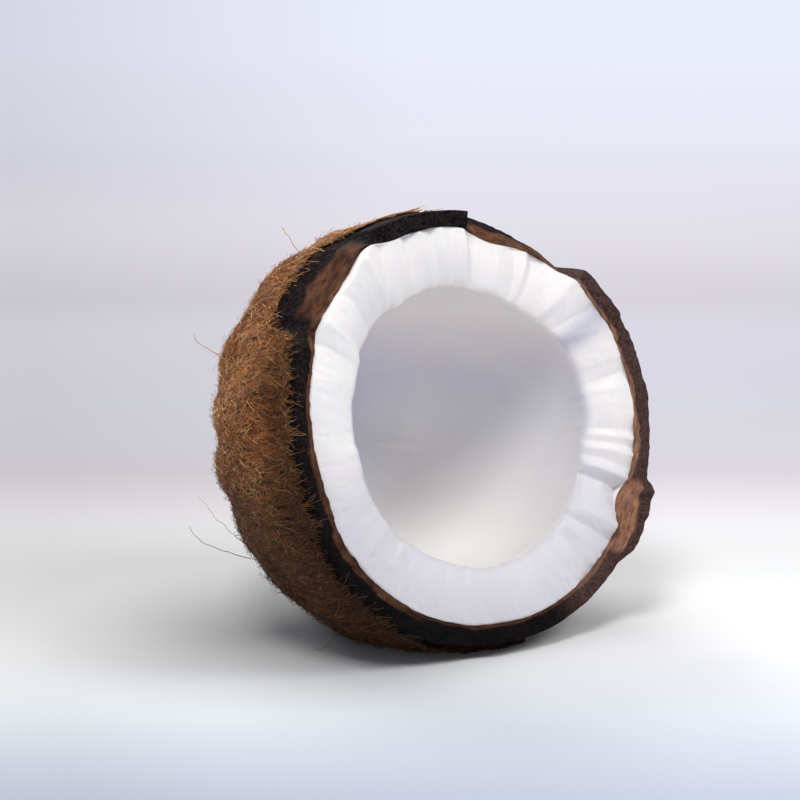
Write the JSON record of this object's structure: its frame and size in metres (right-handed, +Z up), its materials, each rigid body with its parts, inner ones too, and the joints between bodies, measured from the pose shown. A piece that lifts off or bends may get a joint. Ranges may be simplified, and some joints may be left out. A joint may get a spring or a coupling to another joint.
{
  "type": "coconut half",
  "caption": "Half of a ripe coconut lying on its side: a coir husk with loose wisps, a dark chipped shell and a thick white meat cup round an open cavity.",
  "frame": {"origin": "middle of the flat spot on the underside of the husk that the half rests on", "axes": "+Z up; the opening looks towards -Y and 15.5 degrees upwards; +X is to the right as seen from in front of the opening"},
  "size_m": [0.1234, 0.0974, 0.1086],
  "materials": {
    "coir": "matt, matted curly fibre, reddish brown with golden tips",
    "dark_shell": "rough and near black where it is broken, brown on the woody inner break",
    "white_meat": "moist, soft white, fluted where it broke and smooth in the cavity"
  },
  "bodies": {
    "root": {"husk": "coir", "shell": "dark_shell", "meat": "white_meat"}
  },
  "joints": []
}
